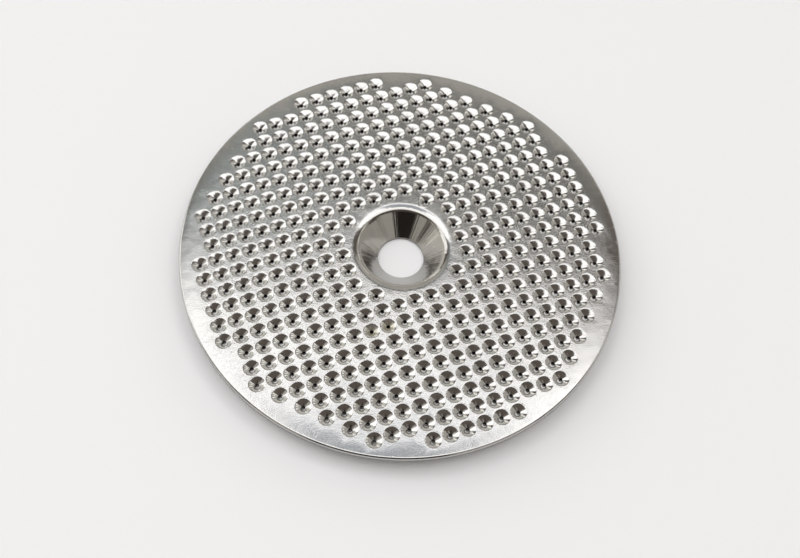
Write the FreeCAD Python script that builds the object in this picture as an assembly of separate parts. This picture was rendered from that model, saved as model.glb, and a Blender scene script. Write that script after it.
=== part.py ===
import FreeCAD, Part
import math
import os
from FreeCAD import Vector

# A shower screen: one disc of stainless sheet, blanked, pierced and pressed to shape.
# A funnel-shaped hub for the fixing screw is drawn down in the middle.
# Rows of small cups, each with a pinhole at its bottom, cover the disc out to a plain rim.
# Z points up, out of the hollow side of the cups and the hub. The hub's foot is at Z = 0.
# X runs along the rows of cups and Y along the columns. All sizes are in millimetres.

# Sheet
disc_diameter = 52.0
sheet_thickness = 0.8
rim_edge_radius = 0.3

# Hub, which takes the countersunk head of an M5 screw
hub_mouth_diameter = 12.0
hub_bend_radius = 1.6
hub_depth = 2.8
screw_hole_diameter = 5.5
screw_hole_length = 0.4

# Cups
column_pitch = 2.0
row_pitch = 2.04
land_between_cups = 0.06
cup_lip_radius = 0.6
cup_depth = 0.4
pinhole_diameter = 0.4
bump_height = 0.3
bump_nose_diameter = 0.9
rim_width = 1.65

# Sizes that follow from the ones above
disc_radius = disc_diameter / 2
hub_mouth_radius = hub_mouth_diameter / 2
screw_hole_radius = screw_hole_diameter / 2
pinhole_radius = pinhole_diameter / 2
sheet_top = hub_depth + screw_hole_length
sheet_bottom = sheet_top - sheet_thickness
bump_nose = sheet_bottom - bump_height
tight_pitch = min(column_pitch, row_pitch)
wide_pitch = max(column_pitch, row_pitch)
cup_mouth_radius = (tight_pitch - land_between_cups) / 2

up = Vector(0, 0, 1)


def at(radius, height):
    """A point of a section, in the half plane where X is the radius."""
    return Vector(radius, 0, height)


def straight(start, end):
    return Part.LineSegment(start, end).toShape()


def bend(centre, radius, slope):
    """An arc from level to the given slope. A positive slope falls towards the axis."""
    def on_arc(angle):
        return centre + Vector(-radius * math.sin(angle), 0, radius * math.cos(angle))
    return Part.Arc(on_arc(0), on_arc(slope / 2), on_arc(slope)).toShape()


def wall_slope(run, depth, radius):
    """Slope of a straight wall that leaves a bend of this radius and ends this far in and down."""
    rise = depth - radius
    return math.acos(-radius / math.hypot(rise, run)) - math.atan2(run, rise)


def skin(edges):
    """The surface that a section's edges sweep around the Z axis."""
    return Part.Wire(edges).revolve(Vector(0, 0, 0), up, 360)


def hub_skin():
    """Both sides of the hub, from the top face down the funnel, round its foot and back up."""
    slope = wall_slope(hub_mouth_radius - screw_hole_radius, hub_depth, hub_bend_radius)
    bend_centre = at(hub_mouth_radius, sheet_top - hub_bend_radius)
    top_bend = bend(bend_centre, hub_bend_radius, slope)
    under_bend = bend(bend_centre, hub_bend_radius - sheet_thickness, slope)
    hole_top = at(screw_hole_radius, screw_hole_length)
    hole_bottom = at(screw_hole_radius, 0)
    foot_width = (sheet_thickness / math.cos(slope) - screw_hole_length) / math.tan(slope)
    foot_edge = at(screw_hole_radius + foot_width, 0)
    funnel_start = top_bend.Vertexes[-1].Point
    under_start = under_bend.Vertexes[-1].Point
    return skin([
        top_bend,
        straight(funnel_start, hole_top),
        straight(hole_top, hole_bottom),
        straight(hole_bottom, foot_edge),
        straight(foot_edge, under_start),
        under_bend,
    ])


def rim_skin():
    """The disc's cut edge, with the rounded upper corner that blanking leaves."""
    corner_centre = at(disc_radius - rim_edge_radius, sheet_top - rim_edge_radius)
    corner = bend(corner_centre, rim_edge_radius, -math.pi / 2)
    return skin([corner, straight(corner.Vertexes[-1].Point, at(disc_radius, sheet_bottom))])


def cup_skin():
    """One cup on the Z axis: its lip and wall, its pinhole, and the bump under it."""
    slope = wall_slope(cup_mouth_radius - pinhole_radius, cup_depth, cup_lip_radius)
    lip = bend(at(cup_mouth_radius, sheet_top - cup_lip_radius), cup_lip_radius, slope)
    pinhole_top = at(pinhole_radius, sheet_top - cup_depth)
    pinhole_bottom = at(pinhole_radius, bump_nose)
    nose_edge = at(bump_nose_diameter / 2, bump_nose)
    return skin([
        lip,
        straight(lip.Vertexes[-1].Point, pinhole_top),
        straight(pinhole_top, pinhole_bottom),
        straight(pinhole_bottom, nose_edge),
        straight(nose_edge, at(cup_mouth_radius, sheet_bottom)),
    ])


def cup_places():
    """Centres of the square grid's cells that lie clear of the hub and inside the plain rim."""
    nearest = hub_mouth_radius + cup_mouth_radius
    farthest = disc_radius - rim_width
    cells = math.ceil(disc_radius / tight_pitch)
    places = []
    for row in range(-cells, cells):
        for column in range(-cells, cells):
            steps = math.hypot(column + 0.5, row + 0.5)
            if steps * tight_pitch > nearest and steps * wide_pitch < farthest:
                place = Vector((column + 0.5) * column_pitch, (row + 0.5) * row_pitch, 0)
                places.append(place)
    return places


def level_face(height, outer_radius, places):
    """A level face of the disc, with round openings for the hub and for the cups."""
    def ring(radius, place):
        centre = Vector(place.x, place.y, height)
        return Part.Wire(Part.Circle(centre, up, radius).toShape())

    face = Part.Face(ring(outer_radius, Vector(0, 0, 0)))
    openings = [ring(hub_mouth_radius, Vector(0, 0, 0))]
    openings += [ring(cup_mouth_radius, place) for place in places]
    for opening in openings:
        opening.reverse()
    face.cutHoles(openings)
    return face


def shower_screen():
    places = cup_places()
    cup = cup_skin()
    faces = [
        level_face(sheet_top, disc_radius - rim_edge_radius, places),
        level_face(sheet_bottom, disc_radius, places),
    ]
    faces += hub_skin().Faces + rim_skin().Faces
    for place in places:
        faces += cup.translated(place).Faces
    shell = Part.makeCompound(faces)
    shell.sewShape()
    return Part.makeSolid(shell)


os.makedirs("parts", exist_ok=True)
shower_screen().exportStep("parts/shower_screen.step")
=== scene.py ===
import math

import bmesh
import bpy
from mathutils import Matrix, Vector
from mathutils.geometry import delaunay_2d_cdt


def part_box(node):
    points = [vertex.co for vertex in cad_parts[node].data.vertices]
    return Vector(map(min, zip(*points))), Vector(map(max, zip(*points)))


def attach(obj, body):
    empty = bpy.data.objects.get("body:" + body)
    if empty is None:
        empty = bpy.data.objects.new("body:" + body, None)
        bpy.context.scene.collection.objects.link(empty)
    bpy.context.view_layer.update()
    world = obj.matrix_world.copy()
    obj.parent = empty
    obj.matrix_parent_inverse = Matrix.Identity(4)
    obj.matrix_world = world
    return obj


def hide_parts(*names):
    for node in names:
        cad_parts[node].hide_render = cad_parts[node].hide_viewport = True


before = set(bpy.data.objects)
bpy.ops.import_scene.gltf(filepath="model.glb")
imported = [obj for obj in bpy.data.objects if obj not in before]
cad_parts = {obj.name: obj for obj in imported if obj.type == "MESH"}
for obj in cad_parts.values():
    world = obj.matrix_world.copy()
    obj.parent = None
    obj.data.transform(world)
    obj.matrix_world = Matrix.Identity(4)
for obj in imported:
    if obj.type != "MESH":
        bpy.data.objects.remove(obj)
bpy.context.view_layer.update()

# The photograph's view of the disc as it lies on a table, hollow side of the cups up.
# The camera stands close over the near left of the disc and is tilted a little to one side.
# The disc's box in the frame gives the sheet's level and the disc's size.
disc_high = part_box("shower_screen")[1]
mm = 0.001

camera_place = Vector((-25.63, -53.54, 107.17)) * mm
camera_aim = Vector((-1.654, -3.872, 2.8)) * mm
camera_roll = math.radians(6.45)
camera_lens = 45.73

camera_data = bpy.data.cameras.new("photo_camera")
camera_data.lens = camera_lens
camera_data.sensor_width = 36
camera_data.clip_start = 5 * mm
camera_data.clip_end = 10
camera = bpy.data.objects.new("photo_camera", camera_data)
look = (camera_aim - camera_place).to_track_quat("-Z", "Y").to_matrix().to_4x4()
tilt = Matrix.Rotation(camera_roll, 4, "Z")
camera.matrix_world = Matrix.Translation(camera_place) @ look @ tilt
bpy.context.scene.collection.objects.link(camera)
bpy.context.scene.camera = camera


# The finish of the whole disc: stainless sheet, rolled bright, then pressed and tumbled.
# It has a fine speckle, slight waves, duller worn patches and short thin scratches.
# The drawn hub is darker, and dried coffee oil tints two cups near the front.
# The cut walls and a ring round each pinhole are darkened with painted shade, so that the holes and
# the rim's cut edge look dark; the walls are also rough sheared steel.
def add_node(tree, kind, inputs=None, **settings):
    """One node of a tree. Its inputs are given as values or as other nodes' outputs."""
    made = tree.nodes.new(kind)
    for name, value in settings.items():
        setattr(made, name, value)
    for name, value in (inputs or {}).items():
        socket = made.inputs[name]
        if isinstance(value, bpy.types.NodeSocket):
            tree.links.new(value, socket)
        else:
            socket.default_value = value
    return made


def calculate(tree, operation, first, second=0.0, clamp=False):
    """The output of a Math node."""
    made = add_node(tree, "ShaderNodeMath", {0: first, 1: second},
                    operation=operation, use_clamp=clamp)
    return made.outputs[0]


def fade(tree, value, start, end, before, after, curve="SMOOTHSTEP"):
    """Goes from before to after while the given value goes from start to end."""
    made = add_node(tree, "ShaderNodeMapRange", {
        "Value": value, "From Min": start, "From Max": end, "To Min": before, "To Max": after},
        interpolation_type=curve)
    return made.outputs["Result"]


def mix_colours(tree, share, first, second):
    """The first colour, with this share of the second one."""
    made = add_node(tree, "ShaderNodeMix", {"Factor": share, 6: first, 7: second},
                    data_type="RGBA")
    return made.outputs[2]


def effect_group(name, inputs, outputs):
    """An empty shader node group with these named inputs and outputs, and its two end nodes."""
    group = bpy.data.node_groups.new(name, "ShaderNodeTree")
    for socket, kind, value in inputs:
        made = group.interface.new_socket(name=socket, in_out="INPUT", socket_type=kind)
        if value is not None:
            made.default_value = value
    for socket, kind in outputs:
        group.interface.new_socket(name=socket, in_out="OUTPUT", socket_type=kind)
    return group, group.nodes.new("NodeGroupInput"), group.nodes.new("NodeGroupOutput")


def use_group(tree, group, inputs):
    """A group placed in a material with its own values."""
    made = tree.nodes.new("ShaderNodeGroup")
    made.node_tree = group
    for name, value in inputs.items():
        if isinstance(value, bpy.types.NodeSocket):
            tree.links.new(value, made.inputs[name])
        else:
            made.inputs[name].default_value = value
    return made


def make_speckle_group():
    """Fine grain of the rolled sheet, with sparse small pits."""
    group, given, result = effect_group(
        "speckle",
        [("Vector", "NodeSocketVector", None), ("Grain Size", "NodeSocketFloat", 0.1 * mm),
         ("Pit Spacing", "NodeSocketFloat", 0.6 * mm), ("Pit Share", "NodeSocketFloat", 0.1)],
        [("Height", "NodeSocketFloat")],
    )
    grain_scale = calculate(group, "DIVIDE", 1.0, given.outputs["Grain Size"])
    pit_scale = calculate(group, "DIVIDE", 1.0, given.outputs["Pit Spacing"])
    grain = add_node(group, "ShaderNodeTexNoise", {
        "Vector": given.outputs["Vector"], "Scale": grain_scale, "Detail": 3.0, "Roughness": 0.6})
    cells = add_node(group, "ShaderNodeTexVoronoi", {
        "Vector": given.outputs["Vector"], "Scale": pit_scale, "Randomness": 1.0}, feature="F1")
    pits = fade(group, cells.outputs["Distance"], 0.0, given.outputs["Pit Share"], 1.0, 0.0)
    height = calculate(group, "SUBTRACT", grain.outputs["Fac"], pits)
    group.links.new(height, result.inputs["Height"])
    return group


def make_scratch_group():
    """Thin scratches in one direction: long narrow cells of noise, and only their edges show."""
    group, given, result = effect_group(
        "scratches",
        [("Vector", "NodeSocketVector", None), ("Direction", "NodeSocketFloat", 0.0),
         ("Spacing", "NodeSocketFloat", 0.3 * mm), ("Length", "NodeSocketFloat", 8 * mm),
         ("Share", "NodeSocketFloat", 0.1)],
        [("Scratches", "NodeSocketFloat")],
    )
    angle = add_node(group, "ShaderNodeCombineXYZ", {"Z": given.outputs["Direction"]})
    across = calculate(group, "DIVIDE", 1.0, given.outputs["Spacing"])
    along = calculate(group, "DIVIDE", 1.0, given.outputs["Length"])
    scale = add_node(group, "ShaderNodeCombineXYZ", {"X": along, "Y": across, "Z": along})
    turned = add_node(group, "ShaderNodeMapping", {
        "Vector": given.outputs["Vector"], "Rotation": angle.outputs[0], "Scale": scale.outputs[0]})
    noise = add_node(group, "ShaderNodeTexNoise", {
        "Vector": turned.outputs[0], "Scale": 1.0, "Detail": 2.0, "Roughness": 0.5,
        "Distortion": 0.3})
    ridge = calculate(group, "ABSOLUTE", calculate(group, "SUBTRACT", noise.outputs["Fac"], 0.5))
    lines = fade(group, ridge, 0.0, 0.02, 1.0, 0.0, "LINEAR")
    patches = add_node(group, "ShaderNodeTexNoise", {
        "Vector": given.outputs["Vector"], "Scale": along, "Detail": 1.0})
    chosen = calculate(group, "LESS_THAN", patches.outputs["Fac"], given.outputs["Share"])
    group.links.new(calculate(group, "MULTIPLY", lines, chosen), result.inputs["Scratches"])
    return group


steel_colour = (0.535, 0.53, 0.52, 1.0)
grain_size = 0.14 * mm
grain_height = 0.0006 * mm
pit_spacing = 0.7 * mm
pit_share = 0.12
wave_size = 1.6 * mm
wave_height = 0.02 * mm
mottle_size = 0.4 * mm
mottle_height = 0.003 * mm
scratch_height = 0.0005 * mm

land_level = disc_high.z - 0.02 * mm
land_grain_height = 0.012 * mm

cloud_size = 5 * mm
worn_clouds = (0.48, 0.62)
worn_specks = (0.35, 0.6)
least_worn = 0.15
dull_colour = (0.36, 0.36, 0.36, 1.0)
dull_strength = 0.3

oil_cups = (Vector((-7.0, -9.18)) * mm, Vector((-5.0, -9.18)) * mm)
oil_reach = 0.9 * mm
oil_colour = (0.4, 0.36, 0.24, 1.0)
oil_strength = 0.5

drawn_radius = 5.6 * mm
drawn_colour = (0.42, 0.41, 0.39, 1.0)
draw_mark_scale = 14.0
draw_mark_height = 0.03 * mm

# Painted shade: the cut walls are darkened towards this colour, so that pinholes, screw hole and
# rim edge look dark.
cut_wall_shade_colour = (0.05, 0.045, 0.04, 1.0)
# Painted shade: a dark ring round each pinhole, over this range of the hole_edge mark, widens the
# hole's dark spot.
hole_shade_range = (0.78, 0.92)
hole_shade_strength = 0.85

polished_roughness = 0.09
cloud_roughness = 0.06
scratch_roughness = 0.07
cut_roughness = 0.3
oil_roughness = 0.15


def make_stainless():
    """Bright rolled stainless steel with the marks of the tools, of wear and of coffee."""
    steel = bpy.data.materials.new("stainless_sheet")
    steel.use_nodes = True
    tree = steel.node_tree
    shader = tree.nodes["Principled BSDF"]
    shader.inputs["Metallic"].default_value = 1.0
    place = add_node(tree, "ShaderNodeTexCoord").outputs["Object"]
    flat_place = add_node(tree, "ShaderNodeVectorMath", {0: place, 1: (1, 1, 0)},
                          operation="MULTIPLY").outputs[0]

    speckle = use_group(tree, make_speckle_group(), {
        "Vector": place, "Grain Size": grain_size, "Pit Spacing": pit_spacing,
        "Pit Share": pit_share})
    scratch_group = make_scratch_group()
    long_scratches = use_group(tree, scratch_group, {
        "Vector": place, "Direction": 0.5, "Spacing": 0.5 * mm, "Length": 9 * mm,
        "Share": 0.45})
    short_scratches = use_group(tree, scratch_group, {
        "Vector": place, "Direction": -0.9, "Spacing": 0.35 * mm, "Length": 4 * mm,
        "Share": 0.42})
    scratches = calculate(tree, "ADD", long_scratches.outputs[0], short_scratches.outputs[0],
                          clamp=True)
    clouds = add_node(tree, "ShaderNodeTexNoise", {
        "Vector": place, "Scale": 1 / cloud_size, "Detail": 4.0}).outputs["Fac"]
    mottle = add_node(tree, "ShaderNodeTexNoise", {
        "Vector": place, "Scale": 1 / mottle_size, "Detail": 2.0}).outputs["Fac"]
    waves = add_node(tree, "ShaderNodeTexNoise", {
        "Vector": place, "Scale": 1 / wave_size, "Detail": 1.0}).outputs["Fac"]

    # Where the oil, the wear, the drawn funnel, and the painted shade of the cut walls and the
    # pinholes are.
    oil = 0.0
    for cup in oil_cups:
        away = add_node(tree, "ShaderNodeVectorMath", {0: flat_place, 1: (cup.x, cup.y, 0)},
                        operation="DISTANCE").outputs["Value"]
        spot = fade(tree, away, 0.5 * oil_reach, oil_reach, 1.0, 0.0)
        oil = calculate(tree, "MAXIMUM", oil, spot)
    worn = fade(tree, clouds, *worn_clouds, 0.0, 1.0)
    specks = fade(tree, mottle, *worn_specks, least_worn, 1.0, "LINEAR")
    dull = calculate(tree, "MULTIPLY", calculate(tree, "MULTIPLY", worn, specks), dull_strength)
    away = add_node(tree, "ShaderNodeVectorMath", {0: flat_place},
                    operation="LENGTH").outputs["Value"]
    drawn = fade(tree, away, 0.92 * drawn_radius, drawn_radius, 1.0, 0.0)
    # Painted shade: the cut walls and a ring round each pinhole are darkened, and also made rough
    # as sheared steel.
    hole_edge = add_node(tree, "ShaderNodeAttribute", attribute_name="hole_edge").outputs["Fac"]
    hole_shade = fade(tree, hole_edge, *hole_shade_range, 0.0, hole_shade_strength, "LINEAR")
    cut_and_shade = add_node(tree, "ShaderNodeAttribute", attribute_name="cut_wall_shade").outputs["Fac"]
    cut_and_shade = calculate(tree, "MAXIMUM", cut_and_shade, hole_shade)

    colour = mix_colours(tree, calculate(tree, "MULTIPLY", oil, oil_strength),
                         steel_colour, oil_colour)
    colour = mix_colours(tree, dull, colour, dull_colour)
    colour = mix_colours(tree, drawn, colour, drawn_colour)
    colour = mix_colours(tree, cut_and_shade, colour, cut_wall_shade_colour)
    tree.links.new(colour, shader.inputs["Base Color"])

    rough = calculate(tree, "MULTIPLY_ADD", clouds, cloud_roughness)
    rough.node.inputs[2].default_value = polished_roughness
    for mark, roughness in ((scratches, scratch_roughness), (cut_and_shade, cut_roughness)):
        rough = calculate(tree, "ADD", rough, calculate(tree, "MULTIPLY", mark, roughness))
    rough = calculate(tree, "ADD", rough, calculate(tree, "MULTIPLY", oil, oil_roughness),
                      clamp=True)
    tree.links.new(rough, shader.inputs["Roughness"])

    # The level lands between the cups keep the rolled grain. Pressing has smoothed the cups.
    height_of_place = add_node(tree, "ShaderNodeSeparateXYZ", {0: place}).outputs["Z"]
    level = calculate(tree, "GREATER_THAN", height_of_place, land_level)
    grain = calculate(tree, "MULTIPLY_ADD", level, land_grain_height)
    grain.node.inputs[2].default_value = grain_height
    outward = add_node(tree, "ShaderNodeVectorMath", {0: flat_place},
                       operation="NORMALIZE").outputs[0]
    draw_marks = add_node(tree, "ShaderNodeTexNoise", {
        "Vector": outward, "Scale": draw_mark_scale, "Detail": 3.0})
    draw_marks = calculate(tree, "MULTIPLY", draw_marks.outputs["Fac"], drawn)
    height = calculate(tree, "MULTIPLY", speckle.outputs["Height"], grain)
    for relief, size in ((waves, wave_height), (mottle, mottle_height),
                         (scratches, -scratch_height), (draw_marks, draw_mark_height)):
        height = calculate(tree, "ADD", height, calculate(tree, "MULTIPLY", relief, size))
    bump = add_node(tree, "ShaderNodeBump", {"Strength": 1.0, "Distance": 1.0, "Height": height})
    tree.links.new(bump.outputs[0], shader.inputs["Normal"])
    return steel


stainless = make_stainless()


# The cups: one stroke of a punch for each, which dishes the sheet and leaves a low bump beneath.
# A thin pin then pierces the bottom. The wall steepens from the soft lip down to the pinhole.
# One cell of the grid is made here, and the tree below lays it out over the disc.
sheet_thickness = 0.8 * mm
sheet_top = disc_high.z
sheet_bottom = sheet_top - sheet_thickness
column_pitch = 2.0 * mm
row_pitch = 2.04 * mm
cup_radii = [radius * mm for radius in (0.99, 0.955, 0.91, 0.83, 0.5, 0.2)]
cup_slopes = [math.radians(slope) for slope in (0, 18, 26, 30, 33, 36)]
pinhole_radius = cup_radii[-1]
bump_height = 0.3 * mm
bump_nose_radius = 0.45 * mm
bump_foot_radius = 0.97 * mm
cup_sides = 16
lip_share_of_land = 0.75
least_length = 0.001 * mm


def ring_of_points(radius, height, sides):
    """Points around the Z axis, the first one on X."""
    turns = [2 * math.pi * side / sides for side in range(sides)]
    return [Vector((radius * math.cos(turn), radius * math.sin(turn), height)) for turn in turns]


def cell_edge(height):
    """Points around the edge of a cup's square cell of the grid."""
    points = []
    for point in ring_of_points(1.0, 0.0, cup_sides):
        point = point / max(abs(point.x), abs(point.y))
        points.append(Vector((point.x * column_pitch / 2, point.y * row_pitch / 2, height)))
    return points


def bridge(mesh, outer, inner):
    """Quads between two rings. They face the side from which outer to inner is a left turn."""
    for first in range(len(outer)):
        second = (first + 1) % len(outer)
        mesh.faces.new((outer[first], outer[second], inner[second], inner[first]))


def bridge_rings(mesh, rings):
    """Rings of points made into rings of vertices, each bridged to the next."""
    rows = [[mesh.verts.new(point) for point in ring] for ring in rings]
    for outer, inner in zip(rows, rows[1:]):
        bridge(mesh, outer, inner)
    return rows


def mark_cut_wall_shade(mesh, radius, darkness):
    """Marks the upright faces at this radius as cut by a tool; the finish darkens them with painted
    shade.
    """
    cut_and_shade = mesh.faces.layers.float["cut_wall_shade"]
    for face in mesh.faces:
        if all(abs(vertex.co.xy.length - radius) < least_length for vertex in face.verts):
            face[cut_and_shade] = darkness


def make_cup_cell():
    """The patch of sheet that one cup takes: the dish, its pinhole and the bump beneath."""
    bump_nose = sheet_bottom - bump_height
    height = sheet_top
    edge = cell_edge(height)
    lip = ring_of_points(cup_radii[0], height, cup_sides)
    land = [outer.lerp(inner, lip_share_of_land) for outer, inner in zip(edge, lip)]
    rings = [edge, land, lip]
    for step in range(1, len(cup_radii)):
        slope = (cup_slopes[step - 1] + cup_slopes[step]) / 2
        height -= (cup_radii[step - 1] - cup_radii[step]) * math.tan(slope)
        rings.append(ring_of_points(cup_radii[step], height, cup_sides))
    rings += [
        ring_of_points(pinhole_radius, bump_nose, cup_sides),
        ring_of_points(bump_nose_radius, bump_nose, cup_sides),
        ring_of_points(bump_foot_radius, sheet_bottom, cup_sides),
        cell_edge(sheet_bottom),
    ]
    mesh = bmesh.new()
    mesh.faces.layers.float.new("cut_wall_shade")
    # The hole_edge mark places the ring of painted shade round the pinhole.
    hole_edge = mesh.verts.layers.float.new("hole_edge")
    for row in bridge_rings(mesh, rings):
        for vertex in row:
            vertex[hole_edge] = abs(vertex.co.xy.length - pinhole_radius) < least_length
    # The pinhole's wall gets the full painted shade, so that the hole looks black.
    mark_cut_wall_shade(mesh, pinhole_radius, 1.0)
    cell = bpy.data.meshes.new("cup_cell")
    mesh.to_mesh(cell)
    mesh.free()
    return cell


hub_mouth_radius = 6.0 * mm
rim_width = 1.65 * mm
land_between_cups = 0.06 * mm
tight_pitch = min(column_pitch, row_pitch)
wide_pitch = max(column_pitch, row_pitch)
disc_radius = disc_high.x
hub_clearance = hub_mouth_radius + (tight_pitch - land_between_cups) / 2
field_radius = disc_radius - rim_width
cells_across = 2 * math.ceil(disc_radius / tight_pitch)


def is_cup(x, y):
    """Whether this place lies in a cell of the grid that has a cup."""
    column = math.floor(x / column_pitch) + 0.5
    row = math.floor(y / row_pitch) + 0.5
    steps = math.hypot(column, row)
    return steps * tight_pitch > hub_clearance and steps * wide_pitch < field_radius


def make_field_tree():
    """Lays the cell out over a grid, where it is clear of the hub and inside the rim."""
    tree = bpy.data.node_groups.new("pierced_field", "GeometryNodeTree")
    for name, kind in (("Cell", "NodeSocketGeometry"), ("Column Pitch", "NodeSocketFloat"),
                       ("Row Pitch", "NodeSocketFloat"), ("Hub Clearance", "NodeSocketFloat"),
                       ("Field Radius", "NodeSocketFloat"), ("Cells Across", "NodeSocketInt"),
                       ("Finish", "NodeSocketMaterial")):
        tree.interface.new_socket(name=name, in_out="INPUT", socket_type=kind)
    tree.interface.new_socket(name="Sheet", in_out="OUTPUT", socket_type="NodeSocketGeometry")
    given = tree.nodes.new("NodeGroupInput").outputs
    result = tree.nodes.new("NodeGroupOutput")

    gaps = calculate(tree, "SUBTRACT", given["Cells Across"], 1.0)
    grid = add_node(tree, "GeometryNodeMeshGrid", {
        "Size X": calculate(tree, "MULTIPLY", gaps, given["Column Pitch"]),
        "Size Y": calculate(tree, "MULTIPLY", gaps, given["Row Pitch"]),
        "Vertices X": given["Cells Across"], "Vertices Y": given["Cells Across"]})
    place = add_node(tree, "ShaderNodeSeparateXYZ", {
        0: add_node(tree, "GeometryNodeInputPosition").outputs[0]})
    steps = add_node(tree, "ShaderNodeCombineXYZ", {
        "X": calculate(tree, "DIVIDE", place.outputs["X"], given["Column Pitch"]),
        "Y": calculate(tree, "DIVIDE", place.outputs["Y"], given["Row Pitch"])})
    away = add_node(tree, "ShaderNodeVectorMath", {0: steps.outputs[0]},
                    operation="LENGTH").outputs["Value"]
    tight = calculate(tree, "MINIMUM", given["Column Pitch"], given["Row Pitch"])
    wide = calculate(tree, "MAXIMUM", given["Column Pitch"], given["Row Pitch"])
    in_hub = calculate(tree, "LESS_THAN", calculate(tree, "MULTIPLY", away, tight),
                       given["Hub Clearance"])
    in_rim = calculate(tree, "GREATER_THAN", calculate(tree, "MULTIPLY", away, wide),
                       given["Field Radius"])
    centres = add_node(tree, "GeometryNodeDeleteGeometry", {
        "Geometry": grid.outputs["Mesh"], "Selection": calculate(tree, "MAXIMUM", in_hub, in_rim)})
    laid = add_node(tree, "GeometryNodeInstanceOnPoints", {
        "Points": centres.outputs[0], "Instance": given["Cell"]})
    real = add_node(tree, "GeometryNodeRealizeInstances", {"Geometry": laid.outputs[0]})
    joined = add_node(tree, "GeometryNodeMergeByDistance", {
        "Geometry": real.outputs[0], "Distance": 2 * least_length})
    smooth = add_node(tree, "GeometryNodeSetShadeSmooth", {"Geometry": joined.outputs[0]})
    finished = add_node(tree, "GeometryNodeSetMaterial", {
        "Geometry": smooth.outputs[0], "Material": given["Finish"]})
    tree.links.new(finished.outputs[0], result.inputs[0])
    return tree


def set_input(modifier, name, value):
    """Sets a modifier's named input through the identifier of its socket."""
    sockets = modifier.node_group.interface.items_tree
    modifier[next(socket.identifier for socket in sockets if socket.name == name)] = value


def make_field():
    """The whole pierced field as one plain mesh."""
    cell = bpy.data.objects.new("cup_cell", make_cup_cell())
    bpy.context.scene.collection.objects.link(cell)
    layout = cell.modifiers.new("pierced_field", "NODES")
    layout.node_group = make_field_tree()
    for name, value in (("Column Pitch", column_pitch), ("Row Pitch", row_pitch),
                        ("Hub Clearance", hub_clearance), ("Field Radius", field_radius),
                        ("Cells Across", cells_across), ("Finish", stainless)):
        set_input(layout, name, value)
    evaluated = cell.evaluated_get(bpy.context.evaluated_depsgraph_get())
    field = bpy.data.meshes.new_from_object(evaluated)
    bpy.data.objects.remove(cell)
    return field


sheet = bmesh.new()
sheet.from_mesh(make_field())
mid_sheet = (sheet_top + sheet_bottom) / 2
open_edge = [vertex for vertex in sheet.verts if vertex.is_boundary]
upper_edge = [vertex for vertex in open_edge if vertex.co.z > mid_sheet]


# The hub: drawn down in the middle of the sheet as a funnel for the screw's countersunk head.
# Its shoulder is a wide soft bend, and a narrow flat foot surrounds the punched screw hole.
# The bend reaches under the corners of the four nearest cups, which sag with it.
hub_bend = 1.6 * mm
screw_hole_radius = 2.75 * mm
screw_hole_length = 0.4 * mm
hub_sides = 96
hub_edge_radius = 5.5 * mm
hub_depth = sheet_top - screw_hole_length
hub_run = hub_mouth_radius - screw_hole_radius
hub_rise = hub_depth - hub_bend
hub_slope = math.acos(-hub_bend / math.hypot(hub_rise, hub_run)) - math.atan2(hub_run, hub_rise)
hub_slopes = [math.radians(slope) for slope in (24, 30, 36, 42)] + [hub_slope]
under_bend = hub_bend - sheet_thickness


def sag(radius, bend):
    """How far the hub's bend has dropped the sheet at this radius."""
    inward = max(hub_mouth_radius - radius, 0.0)
    return bend - math.sqrt(bend ** 2 - inward ** 2)


def hub_ring(slope, bend):
    """A ring of points on the hub's bend, where it has reached this slope."""
    height = sheet_top - hub_bend + bend * math.cos(slope)
    return ring_of_points(hub_mouth_radius - bend * math.sin(slope), height, hub_sides)


for vertex in sheet.verts:
    radius = vertex.co.xy.length
    if radius < hub_mouth_radius:
        bend = hub_bend if vertex.co.z > mid_sheet else under_bend
        vertex.co.z -= sag(radius, bend)

foot_width = (sheet_thickness / math.cos(hub_slope) - screw_hole_length) / math.tan(hub_slope)
edge_top = sheet_top - sag(hub_edge_radius, hub_bend)
edge_bottom = sheet_bottom - sag(hub_edge_radius, under_bend)
hub_rings = [ring_of_points(hub_edge_radius, edge_top, hub_sides)]
hub_rings += [hub_ring(slope, hub_bend) for slope in hub_slopes]
hub_rings += [
    ring_of_points(screw_hole_radius, screw_hole_length, hub_sides),
    ring_of_points(screw_hole_radius, 0.0, hub_sides),
    ring_of_points(screw_hole_radius + foot_width, 0.0, hub_sides),
    hub_ring(hub_slope, under_bend),
    ring_of_points(hub_edge_radius, edge_bottom, hub_sides),
]
hub_rows = bridge_rings(sheet, hub_rings)


# The rim: the plain edge of the sheet outside the cups, cut by a blanking die.
# The die rounds the upper corner and leaves the cut edge upright.
# Level sheet joins the rim, and the hub's shoulder, to the stepped edge of the field of cups.
rim_edge_radius = 0.3 * mm
rim_sides = 192
rim_turns = [math.radians(turn) for turn in (0, 22.5, 45, 67.5, 90)]

rim_rings = [ring_of_points(disc_radius, sheet_bottom, rim_sides)]
rim_rings += [
    ring_of_points(disc_radius - rim_edge_radius * (1 - math.sin(turn)),
                   sheet_top - rim_edge_radius * (1 - math.cos(turn)), rim_sides)
    for turn in reversed(rim_turns)
]
rim_rows = bridge_rings(sheet, rim_rings)
# The rim's cut edge and the screw hole's wall get lighter painted shade.
mark_cut_wall_shade(sheet, disc_radius, 0.6)
mark_cut_wall_shade(sheet, screw_hole_radius, 0.4)

lip_end_reach = 1.05 * cup_radii[0]
least_spacing = 0.1 * mm


def lip_ends(steps):
    """Places just outside the field's stepped edge, where the outermost lips run out level."""
    places = []
    for column in range(-steps, steps):
        for row in range(-steps, steps):
            centre = Vector(((column + 0.5) * column_pitch, (row + 0.5) * row_pitch))
            if not is_cup(*centre):
                continue
            for point in ring_of_points(lip_end_reach, 0.0, cup_sides):
                place = centre + point.xy
                if is_cup(*place):
                    continue
                if all((place - other).length > least_spacing for other in places):
                    places.append(place)
    return places


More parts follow.
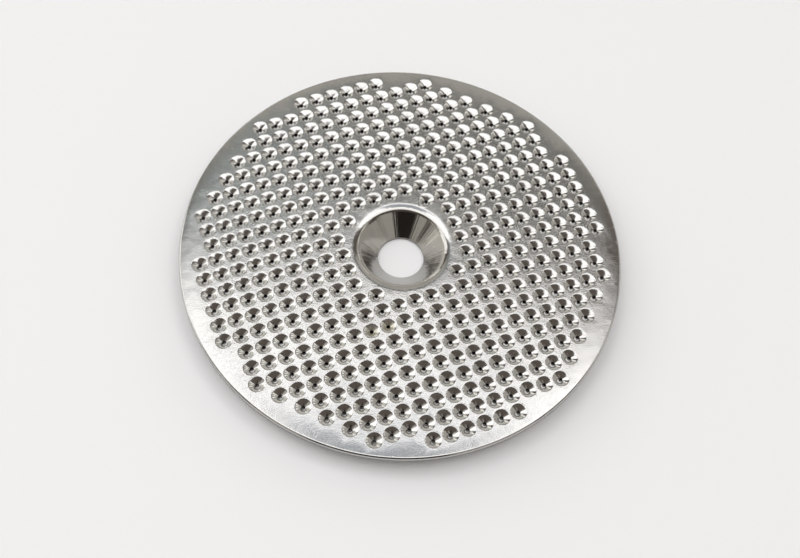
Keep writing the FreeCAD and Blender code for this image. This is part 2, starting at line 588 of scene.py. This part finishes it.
def fill_sheet(mesh, upper_loops, lower_loops, loose, upper_height, lower_height, wanted):
    """Sheet between closed loops of vertices, on both faces, with extra points inside."""
    flat = [vertex.co.xy / mm for loop in upper_loops for vertex in loop]
    edges = []
    start = 0
    for loop in upper_loops:
        count = len(loop)
        edges += [(start + step, start + (step + 1) % count) for step in range(count)]
        start += count
    inside = [place / mm for place in loose]
    faces = delaunay_2d_cdt(flat + inside, edges, [], 0, 1e-5)
    uppers = [vertex for loop in upper_loops for vertex in loop]
    lowers = [vertex for loop in lower_loops for vertex in loop]
    for place in loose:
        uppers.append(mesh.verts.new((place.x, place.y, upper_height(place.length))))
        lowers.append(mesh.verts.new((place.x, place.y, lower_height(place.length))))
    source = [origin[0] for origin in faces[3]]
    for corners in faces[2]:
        corners = [source[corner] for corner in corners]
        middle = sum((uppers[corner].co.xy for corner in corners), Vector((0, 0))) / 3
        if wanted(middle):
            mesh.faces.new([uppers[corner] for corner in corners])
            mesh.faces.new([lowers[corner] for corner in reversed(corners)])


def edge_loops(vertices):
    """Vertices of an open edge, put in order as closed loops."""
    left = dict.fromkeys(vertices)
    loops = []
    while left:
        loop = [left.popitem()[0]]
        while True:
            near = [edge.other_vert(loop[-1]) for edge in loop[-1].link_edges if edge.is_boundary]
            near = [vertex for vertex in near if vertex in left]
            if not near:
                break
            loop.append(near[0])
            del left[near[0]]
        loops.append(loop)
    return sorted(loops, key=len)


def plan_place(vertex):
    """The vertex's place seen from above, rounded to the hundredth of a millimetre."""
    return round(vertex.co.x / mm, 2), round(vertex.co.y / mm, 2)


def below(loop):
    """The vertices of the lower face that lie straight under these."""
    return [lower_at[plan_place(vertex)] for vertex in loop]


lower_at = {plan_place(vertex): vertex for vertex in open_edge if vertex.co.z <= mid_sheet}
inner_edge, outer_edge = edge_loops(upper_edge)
lip_places = lip_ends(cells_across // 2)
shoulder_radii = (5.7 * mm, 5.88 * mm, 6.02 * mm)
shoulder_places = [
    point.xy for radius in shoulder_radii
    for point in ring_of_points(radius, 0.0, hub_sides) if not is_cup(point.x, point.y)
]
shoulder_limits = (0.999 * hub_edge_radius, 9 * mm)
rim_inner_limit = 12 * mm
level_limit = disc_radius - 2 * rim_edge_radius

fill_sheet(
    sheet, [inner_edge, hub_rows[0]], [below(inner_edge), hub_rows[-1]],
    [place for place in lip_places if place.length < hub_clearance] + shoulder_places,
    lambda radius: sheet_top - sag(radius, hub_bend),
    lambda radius: sheet_bottom - sag(radius, under_bend),
    lambda place: shoulder_limits[0] < place.length < shoulder_limits[1] and not is_cup(*place),
)
fill_sheet(
    sheet, [outer_edge, rim_rows[-1]], [below(outer_edge), rim_rows[0]],
    [place for place in lip_places if hub_clearance < place.length < level_limit],
    lambda radius: sheet_top,
    lambda radius: sheet_bottom,
    lambda place: place.length > rim_inner_limit and not is_cup(*place),
)


# The disc as one piece of sheet, in place of the frame's plain one.
# Edges stay sharp at the pinholes, the screw hole and the lower corner of the rim.
sharp_from = math.radians(38)

for face in sheet.faces:
    face.smooth = True
disc_mesh = bpy.data.meshes.new("shower_screen_sheet")
sheet.to_mesh(disc_mesh)
sheet.free()
disc_mesh.materials.append(stainless)
disc_mesh.set_sharp_from_angle(angle=sharp_from)
disc = bpy.data.objects.new("shower_screen_sheet", disc_mesh)
bpy.context.scene.collection.objects.link(disc)
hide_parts("shower_screen")
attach(disc, "root")


# The white table that the disc lies on.
# It can be looked through from beneath, so that the disc's underside can be seen.
table_reach = 3.0
table_colour = (0.94, 0.945, 0.96, 1.0)
table_roughness = 0.6

table_mesh = bpy.data.meshes.new("table")
corners = [(-table_reach, -table_reach, 0), (table_reach, -table_reach, 0),
           (table_reach, table_reach, 0), (-table_reach, table_reach, 0)]
table_mesh.from_pydata(corners, [], [(0, 1, 2, 3)])
table_paint = bpy.data.materials.new("table_white")
table_paint.use_nodes = True
table_tree = table_paint.node_tree
table_shader = table_tree.nodes["Principled BSDF"]
table_shader.inputs["Base Color"].default_value = table_colour
table_shader.inputs["Roughness"].default_value = table_roughness
table_sides = add_node(table_tree, "ShaderNodeMixShader", {
    "Fac": add_node(table_tree, "ShaderNodeNewGeometry").outputs["Backfacing"],
    1: table_shader.outputs[0],
    2: add_node(table_tree, "ShaderNodeBsdfTransparent").outputs[0]})
table_tree.links.new(table_sides.outputs[0], table_tree.nodes["Material Output"].inputs["Surface"])
table_mesh.materials.append(table_paint)
table = bpy.data.objects.new("table", table_mesh)
bpy.context.scene.collection.objects.link(table)


# The studio, as the bright steel mirrors it: a wide soft box overhead, a window on the left,
# dim walls, panels and small lamps all around, and three cards for the dark behind the camera
# and for the grey far edge of the soft box. Directions start from the way the camera looks.
camera_view = camera_aim - camera_place
heading = math.atan2(camera_view.y, camera_view.x)
far = Vector((math.cos(heading), math.sin(heading), 0))
right = Vector((math.sin(heading), -math.cos(heading), 0))
up = Vector((0, 0, 1))
pale = (1.0, 1.0, 0.93)
cool = (0.72, 0.95, 1.0)


def place_towards(azimuth, elevation, distance):
    """A place seen from the disc, with the azimuth turned right from the camera's heading."""
    azimuth, elevation = math.radians(azimuth), math.radians(elevation)
    level = far * math.cos(azimuth) + right * math.sin(azimuth)
    return (level * math.cos(elevation) + up * math.sin(elevation)) * distance


def soft_box(name, place, width, height, brightness, colour=(1, 1, 1), shape="RECTANGLE"):
    """A soft light that faces the disc and looks this bright in a mirror."""
    light = bpy.data.lights.new(name, "AREA")
    light.shape = shape
    light.size = width
    light.size_y = height
    light.energy = brightness * math.pi * width * height
    if shape == "ELLIPSE":
        light.energy *= math.pi / 4
    light.color = colour
    lamp = bpy.data.objects.new(name, light)
    lamp.rotation_mode = "QUATERNION"
    lamp.rotation_quaternion = place.to_track_quat("Z", "Y")
    lamp.location = place
    bpy.context.scene.collection.objects.link(lamp)
    return lamp


def make_card(name, centre, side, rise, colour):
    """A card that glows dimly. Only its reflection in the disc shows."""
    paint = bpy.data.materials.new(name)
    paint.use_nodes = True
    shader = paint.node_tree.nodes["Principled BSDF"]
    shader.inputs["Base Color"].default_value = (0.0, 0.0, 0.0, 1.0)
    shader.inputs["Emission Color"].default_value = colour
    shader.inputs["Emission Strength"].default_value = 1.0
    shader.inputs["Roughness"].default_value = 1.0
    mesh = bpy.data.meshes.new(name)
    mesh.from_pydata([centre - side - rise, centre + side - rise,
                      centre + side + rise, centre - side + rise], [], [(0, 1, 2, 3)])
    mesh.materials.append(paint)
    card = bpy.data.objects.new(name, mesh)
    card.visible_camera = False
    bpy.context.scene.collection.objects.link(card)


ceiling_place = right * -0.03 + far * -0.005 + up * 0.9
ceiling = soft_box("ceiling", ceiling_place, 1.56, 0.95, 1.95, shape="ELLIPSE")
ceiling.rotation_quaternion = Matrix((right, far, up)).transposed().to_quaternion()

soft_box("left_window", place_towards(-73, 35, 0.9), 0.54, 0.42, 1.87)
soft_box("left_wall", place_towards(-62, 12, 1.2), 1.9, 0.55, 0.77, pale)
soft_box("left_side", place_towards(-107, 24, 1.2), 0.46, 0.8, 0.47, pale)
soft_box("far_wall", place_towards(-4, 25, 1.2), 1.17, 1.15, 0.42, pale)
soft_box("far_low_wall", place_towards(-4, 7, 1.2), 1.17, 0.4, 0.25, pale)
soft_box("far_high_wall", place_towards(-8, 56, 0.9), 0.6, 0.18, 0.11, cool)
soft_box("left_high_wall", place_towards(-28, 56, 0.9), 0.34, 0.16, 0.2, cool)
soft_box("right_wall", place_towards(56, 19, 1.2), 1.56, 0.95, 0.42, pale)
soft_box("right_upper", place_towards(78, 39, 0.9), 0.2, 0.18, 1.0, pale)
soft_box("right_low_wall", place_towards(104, 10, 1.2), 0.55, 0.5, 0.45, pale)
soft_box("right_lamp", place_towards(58, 29.5, 0.85), 0.1, 0.1, 1.6)
for azimuth in (-30, 38):
    soft_box("far_lamp", place_towards(azimuth, 24, 0.85), 0.1, 0.12, 1.35)
soft_box("left_panel", place_towards(-140, 22, 0.9), 0.32, 0.5, 0.45, pale)
soft_box("right_panel", place_towards(136, 22, 0.9), 0.5, 0.5, 0.45, pale)

room_colour = (0.15, 0.125, 0.107, 1.0)
backdrop_colour = (0.8, 0.8, 0.8, 1.0)
studio_world = bpy.data.worlds.new("studio")
studio_world.use_nodes = True
world_tree = studio_world.node_tree
seen_directly = add_node(world_tree, "ShaderNodeLightPath").outputs["Is Camera Ray"]
world_colour = mix_colours(world_tree, seen_directly, room_colour, backdrop_colour)
world_tree.links.new(world_colour, world_tree.nodes["Background"].inputs["Color"])
bpy.context.scene.world = studio_world

make_card("dark_card", place_towards(180, 26, 0.4), right * 0.18, far * 0.05 + up * 0.11,
          (0.015, 0.012, 0.01, 1.0))
make_card("grey_card", up * 0.69 + far * 0.065, right * 0.13, far * 0.115,
          (0.55, 0.58, 0.62, 1.0))
make_card("pale_card", up * 0.69 + far * 0.21, right * 0.09, far * 0.03,
          (1.3, 1.35, 1.42, 1.0))

bpy.context.scene.view_settings.view_transform = "Standard"
